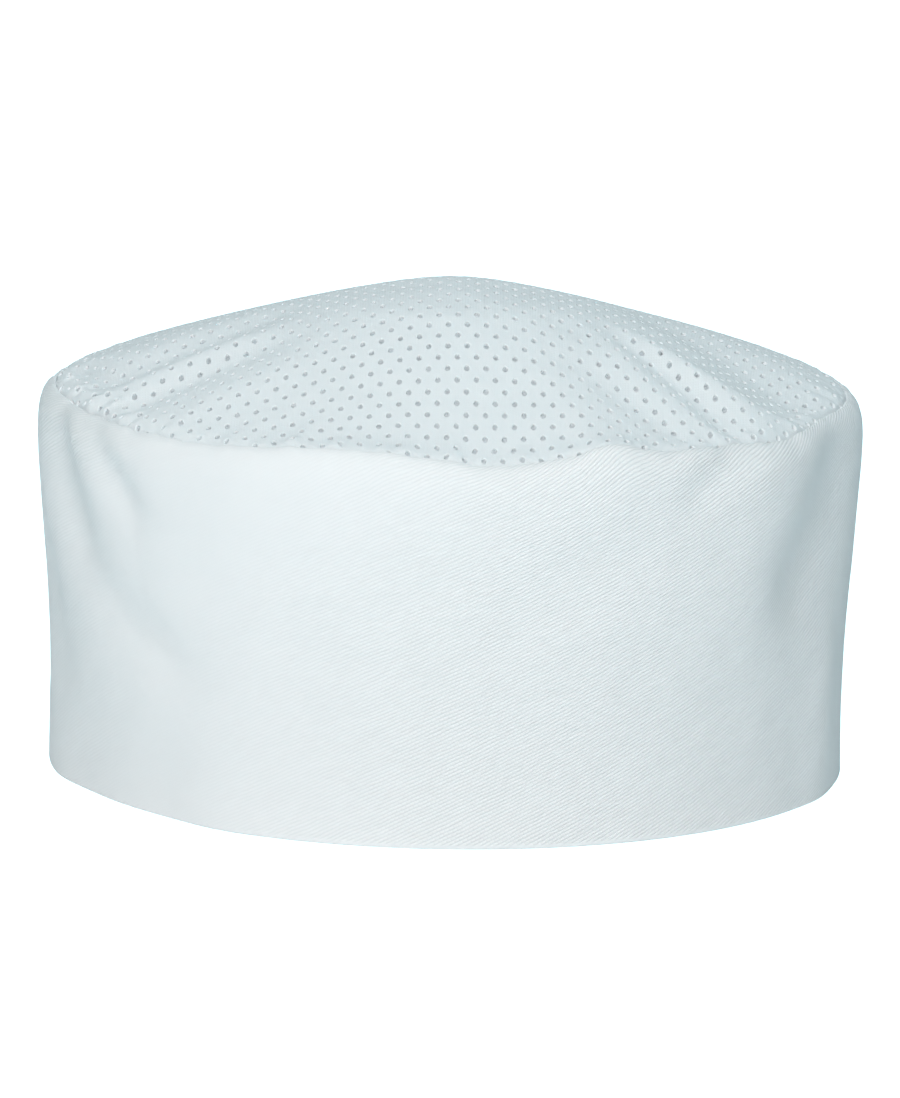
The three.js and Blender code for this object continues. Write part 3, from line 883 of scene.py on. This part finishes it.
def overlock_tree(material):
    """Geometry Nodes: a thread along one stitch's path, repeated along the cut edge."""
    tree = bpy.data.node_groups.new("overlock", "GeometryNodeTree")
    face = tree.interface
    face.new_socket("Edge", in_out="INPUT", socket_type="NodeSocketObject")
    face.new_socket("Stitch Path", in_out="INPUT", socket_type="NodeSocketObject")
    face.new_socket("Stitches", in_out="INPUT", socket_type="NodeSocketInt")
    face.new_socket("Thread Radius", in_out="INPUT", socket_type="NodeSocketFloat")
    face.new_socket("Thread Sides", in_out="INPUT", socket_type="NodeSocketInt")
    face.new_socket("Stitching", in_out="OUTPUT", socket_type="NodeSocketGeometry")
    given = add_node(tree, "NodeGroupInput").outputs
    path = add_node(tree, "GeometryNodeObjectInfo", None, {"Object": given["Stitch Path"]})
    course = add_node(tree, "GeometryNodeMeshToCurve", None, {"Mesh": path.outputs["Geometry"]})
    section = add_node(tree, "GeometryNodeCurvePrimitiveCircle", None, {
        "Resolution": given["Thread Sides"], "Radius": given["Thread Radius"],
    })
    thread = add_node(tree, "GeometryNodeCurveToMesh", {"Fill Caps": True}, {
        "Curve": course, "Profile Curve": section,
    })
    edge = add_node(tree, "GeometryNodeObjectInfo", None, {"Object": given["Edge"]})
    round_edge = add_node(tree, "GeometryNodeMeshToCurve", None, {"Mesh": edge.outputs["Geometry"]})
    spaced = add_node(tree, "GeometryNodeResampleCurve", None, {
        "Curve": round_edge, "Count": given["Stitches"],
    })
    tangent = add_node(tree, "GeometryNodeInputTangent")
    turn = add_node(tree, "FunctionNodeAlignRotationToVector", {
        "axis": "X", "pivot_axis": "Z",
    }, {"Vector": tangent})
    repeated = add_node(tree, "GeometryNodeInstanceOnPoints", None, {
        "Points": spaced, "Instance": thread, "Rotation": turn,
    })
    real = add_node(tree, "GeometryNodeRealizeInstances", None, {"Geometry": repeated})
    dressed = add_node(tree, "GeometryNodeSetMaterial", {"Material": material},
                       {"Geometry": real})
    add_node(tree, "NodeGroupOutput", None, {"Stitching": dressed})
    return tree


def stitch_points():
    """One overlock stitch from a needle hole: down the side that faces the head, round the cut
    edge and up behind. X runs along the edge, Y towards the head and Z up the cloth."""
    off = MESH_CLOTH / 2 + THREAD_RADIUS
    half = STITCH_PITCH / 2
    near_edge = STITCH_DEPTH / 10
    return [
        (0.0, off * 0.6, STITCH_DEPTH),
        (0.12 * half, off * 1.1, STITCH_DEPTH * 0.93),
        (0.55 * half, off * 1.15, STITCH_DEPTH * 0.5),
        (0.9 * half, off * 1.1, near_edge),
        (half, off * 0.7, -THREAD_RADIUS),
        (1.02 * half, 0.0, -2 * THREAD_RADIUS),
        (1.05 * half, -off * 0.7, -THREAD_RADIUS),
        (1.15 * half, -off * 1.1, near_edge),
        (1.5 * half, -off * 1.1, STITCH_DEPTH * 0.5),
        (2.0 * half, -off * 0.6, STITCH_DEPTH),
    ]


def build_overlock(material):
    """The stitches round the cut edge of the seam allowance, as one mesh."""
    angles = np.arange(360) - 180.0
    middle = float(band_out(1.0)) - BAND_WALL - MESH_CLOTH / 2
    x, y = plan_point(angles, middle + band_push(angles, 1.0))
    girth = np.hypot(np.diff(x, append=x[0]), np.diff(y, append=y[0])).sum()
    level = np.full_like(x, BAND_HEIGHT - SEAM_ALLOWANCE)
    edge = polyline("cut_edge", np.stack([x, y, level], axis=-1).tolist(), True)
    path = polyline("stitch_path", stitch_points(), False)
    mesh = grown_mesh(overlock_tree(material), {
        "Edge": edge, "Stitch Path": path, "Stitches": round(girth / STITCH_PITCH),
        "Thread Radius": THREAD_RADIUS, "Thread Sides": THREAD_SIDES,
    })
    bpy.data.objects.remove(edge)
    bpy.data.objects.remove(path)
    place_points(mesh, points_of(mesh))
    return finished_piece("seam_overlock", mesh)


def add_floor():
    """A matt white table top, wide enough to fill the view behind the cap. It glows only a little
    near the cap, so the cap keeps its shading, and the camera sees it burnt out to plain white."""
    material, tree = new_material("matt_white_table")
    place = add_node(tree, "ShaderNodeTexCoord")
    away = add_node(tree, "ShaderNodeVectorMath", {"operation": "LENGTH"},
                    {0: place.outputs["Object"]})
    glow = add_node(tree, "ShaderNodeMapRange", {
        "interpolation_type": "SMOOTHSTEP", "From Min": FLOOR_GLOW_FROM, "From Max": FLOOR_GLOW_TO,
        "To Min": FLOOR_GLOW_NEAR, "To Max": FLOOR_GLOW_FAR,
    }, {"Value": away.outputs["Value"]})
    path = add_node(tree, "ShaderNodeLightPath")
    outside = add_node(tree, "ShaderNodeMath", {"operation": "GREATER_THAN", 1: INSIDE_RADIUS},
                       {0: away.outputs["Value"]})
    seen = add_node(tree, "ShaderNodeMath", {"operation": "MULTIPLY"},
                    {0: path.outputs["Is Camera Ray"], 1: outside})
    burnt = add_node(tree, "ShaderNodeMath", {"operation": "MULTIPLY", 1: FLOOR_GLOW_SEEN},
                     {0: seen})
    strength = add_node(tree, "ShaderNodeMath", {"operation": "MAXIMUM"}, {0: glow, 1: burnt})
    shader = add_node(tree, "ShaderNodeBsdfPrincipled", {
        "Base Color": hex_colour("#f7f8f8"), "Roughness": 0.9,
        "Emission Color": hex_colour(FILL_TINT),
    }, {"Emission Strength": strength})
    add_node(tree, "ShaderNodeOutputMaterial", None, {"Surface": shader})
    side = FLOOR_HALF_SIDE
    mesh = bpy.data.meshes.new("table_top")
    corners = [(-side, -side, 0), (side, -side, 0), (side, side, 0), (-side, side, 0)]
    mesh.from_pydata(corners, [], [(0, 1, 2, 3)])
    mesh.materials.append(material)
    floor = linked_object("table_top", mesh)


def aim(thing, at):
    direction = np.array(at) - np.array(thing.location)
    flat = math.hypot(direction[0], direction[1])
    thing.rotation_euler = (
        math.atan2(flat, -direction[2]), 0.0, math.atan2(direction[1], direction[0]) - math.pi / 2,
    )


def add_light(name, side, height, distance, size, power, colour):
    """A square softbox, by its degrees from the front and above the table, and its distance."""
    data = bpy.data.lights.new(name, "AREA")
    data.shape = "SQUARE"
    data.size = size
    data.energy = power
    data.color = hex_colour(colour)[:3]
    light = linked_object(name, data)
    turn, rise = math.radians(side), math.radians(height)
    light.location = (
        distance * math.sin(turn) * math.cos(rise),
        -distance * math.cos(turn) * math.cos(rise),
        AIM_Z * MM + distance * math.sin(rise),
    )
    aim(light, (0, 0, AIM_Z * MM))


def add_inside_glow():
    """A weak light inside the cap, which gives the eyelets their pale grey."""
    data = bpy.data.lights.new("inside_glow", "AREA")
    data.shape = "DISK"
    data.size = INSIDE_GLOW_SIZE
    data.energy = INSIDE_GLOW_POWER
    light = linked_object("inside_glow", data)
    light.location = (0, 0, INSIDE_GLOW_LEVEL)
    light.rotation_euler = (math.pi, 0, 0)
    light.visible_camera = False


def add_lights():
    for row in SOFTBOXES:
        add_light(*row)
    add_inside_glow()
    world = bpy.data.worlds.new("studio")
    world.use_nodes = True
    tree = world.node_tree
    tree.nodes.clear()
    sky = add_node(tree, "ShaderNodeBackground",
                   {"Color": hex_colour(FILL_TINT), "Strength": ROOM_LIGHT})
    add_node(tree, "ShaderNodeOutputWorld", None, {"Surface": sky})
    bpy.context.scene.world = world


def add_camera():
    data = bpy.data.cameras.new("photo_view")
    data.lens = SENSOR * FOCAL_PIXELS / PICTURE_HEIGHT
    data.sensor_fit = "AUTO"
    data.sensor_width = SENSOR
    data.clip_end = 100.0
    camera = linked_object("photo_view", data)
    tilt = math.radians(CAMERA_ELEVATION)
    camera.location = (
        AIM_X * MM,
        -math.cos(tilt) * CAMERA_DISTANCE * MM,
        (AIM_Z + math.sin(tilt) * CAMERA_DISTANCE) * MM,
    )
    camera.rotation_mode = "XYZ"
    upright = math.pi / 2 - tilt
    roll = math.radians(CAMERA_ROLL)
    turned = Euler((upright, 0, 0)).to_matrix() @ Matrix.Rotation(roll, 3, "Z")
    camera.rotation_euler = turned.to_euler()
    bpy.context.scene.camera = camera


SHIFT = frame_shift()
add_camera()
add_floor()
add_lights()
bpy.context.scene.view_settings.view_transform = "Standard"

band = build_band(twill_material())
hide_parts("band")
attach(band, "root")

overlock = build_overlock(thread_material())
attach(overlock, "root")

crown = build_crown(mesh_material())
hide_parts("crown")
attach(crown, "root")
